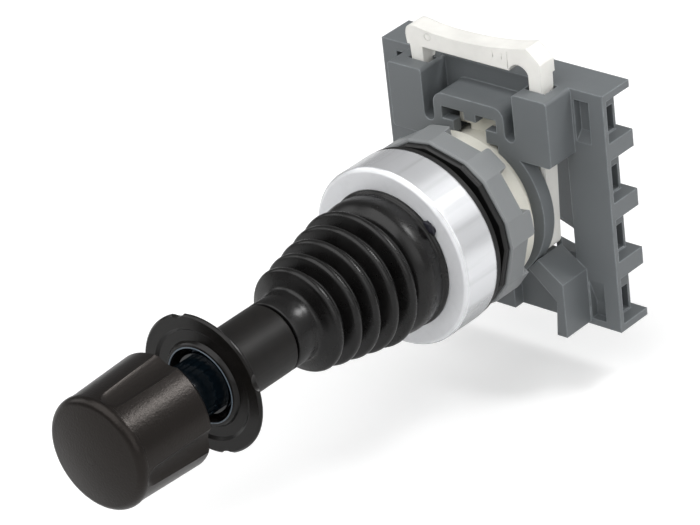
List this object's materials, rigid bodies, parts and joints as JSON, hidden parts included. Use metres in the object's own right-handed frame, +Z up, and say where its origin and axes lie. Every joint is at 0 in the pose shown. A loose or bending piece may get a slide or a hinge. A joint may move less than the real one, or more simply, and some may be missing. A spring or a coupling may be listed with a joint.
{
  "type": "industrial joystick",
  "caption": "Panel joystick with tapered knob, pull collar, ribbed rubber boot, chromed bezel, ring nut and rear holder with a slide latch.",
  "frame": {"origin": "centre of the panel's front plane, where the bezel gasket's rear face sits", "axes": "-Y along the stick towards the knob, +Y into the panel, +Z up towards the latch, +X to the right seen from the knob"},
  "size_m": [0.0422, 0.0983, 0.0467],
  "materials": {
    "knob_black": "grained black",
    "flange_black": "glossy black",
    "sleeve_black": "smooth blue-black",
    "rod_steel": "ground",
    "spring_steel": "drawn wire",
    "insert_brass": "turned",
    "boot_rubber": "satin black",
    "gasket_rubber": "matt black",
    "bezel_chrome": "satin face, bright edge",
    "bushing_black": "moulded black",
    "washer_black": "black",
    "nut_grey": "fine grained grey",
    "housing_cream": "moulded cream",
    "mechanism_black": "moulded black",
    "plunger_white": "smooth white",
    "holder_grey": "fine grained grey",
    "latch_white": "moulded white"
  },
  "bodies": {
    "head": {"bezel": "bezel_chrome", "bezel_gasket": "gasket_rubber", "bushing": "bushing_black", "boot": "boot_rubber", "mechanism_housing": "housing_cream", "gate_plate": "mechanism_black", "rear_cover": "mechanism_black", "cover_screws": "rod_steel", "centering_spring": "spring_steel", "holder": "holder_grey", "plunger_spring_up": "spring_steel", "plunger_spring_down": "spring_steel", "plunger_spring_left": "spring_steel", "plunger_spring_right": "spring_steel"},
    "clamp_washer": {"nut_washer": "washer_black"},
    "nut": {"ring_nut": "nut_grey"},
    "slide_latch": {"latch": "latch_white"},
    "gimbal": {"gimbal_ring": "mechanism_black", "gimbal_pins": "rod_steel", "stick_pins": "rod_steel"},
    "stick": {"knob": "knob_black", "knob_insert": "insert_brass", "stick_rod": "rod_steel", "stick_hub": "mechanism_black", "cam_disc": "mechanism_black", "guide_sleeve": "sleeve_black", "collar_spring": "spring_steel"},
    "collar": {"lock_collar": "flange_black", "lock_rod": "rod_steel", "lock_pin": "rod_steel"},
    "plunger_up_body": {"plunger_up": "plunger_white"},
    "plunger_down_body": {"plunger_down": "plunger_white"},
    "plunger_left_body": {"plunger_left": "plunger_white"},
    "plunger_right_body": {"plunger_right": "plunger_white"}
  },
  "joints": [
    {"name": "up_down", "type": "hinge", "parent": "head", "child": "gimbal", "pos_m": [0, 0.005, 0], "axis": [1, 0, 0], "range_deg": [-12, 12], "stiffness_Nm_per_rad": 0.15, "deforming": ["boot", "centering_spring"]},
    {"name": "left_right", "type": "hinge", "parent": "gimbal", "child": "stick", "pos_m": [0, 0.005, 0], "axis": [0, 0, 1], "range_deg": [-12, 12], "stiffness_Nm_per_rad": 0.15},
    {"name": "collar_pull", "type": "slide", "parent": "stick", "child": "collar", "axis": [0, -1, 0], "range_m": [0, 0.004], "stiffness_N_per_m": 600, "springref_m": -0.004, "deforming": ["collar_spring"]},
    {"name": "nut_travel", "type": "slide", "parent": "head", "child": "clamp_washer", "axis": [0, -1, 0], "range_m": [-0.0015, 0.0011]},
    {"name": "nut_turn", "type": "hinge", "parent": "clamp_washer", "child": "nut", "pos_m": [0, 0.003, 0], "axis": [0, -1, 0], "range_deg": [-355, 255]},
    {"name": "latch_slide", "type": "slide", "parent": "head", "child": "slide_latch", "axis": [0, 0, 1], "range_m": [-0.0004, 0.003]},
    {"name": "plunger_up_travel", "type": "slide", "parent": "head", "child": "plunger_up_body", "axis": [0, 1, 0], "range_m": [-0.00126, 0.00126], "deforming": ["plunger_spring_up"]},
    {"name": "plunger_down_travel", "type": "slide", "parent": "head", "child": "plunger_down_body", "axis": [0, 1, 0], "range_m": [-0.00126, 0.00126], "deforming": ["plunger_spring_down"]},
    {"name": "plunger_left_travel", "type": "slide", "parent": "head", "child": "plunger_left_body", "axis": [0, 1, 0], "range_m": [-0.00126, 0.00126], "deforming": ["plunger_spring_left"]},
    {"name": "plunger_right_travel", "type": "slide", "parent": "head", "child": "plunger_right_body", "axis": [0, 1, 0], "range_m": [-0.00126, 0.00126], "deforming": ["plunger_spring_right"]}
  ],
  "couplings": [
    {"joint": "nut_travel", "follows": "nut_turn", "m_per_rad": 0.00023873},
    {"joint": "plunger_up_travel", "follows": "up_down", "m_per_rad": -0.0059},
    {"joint": "plunger_down_travel", "follows": "up_down", "m_per_rad": 0.0059},
    {"joint": "plunger_left_travel", "follows": "left_right", "m_per_rad": -0.0059},
    {"joint": "plunger_right_travel", "follows": "left_right", "m_per_rad": 0.0059}
  ]
}
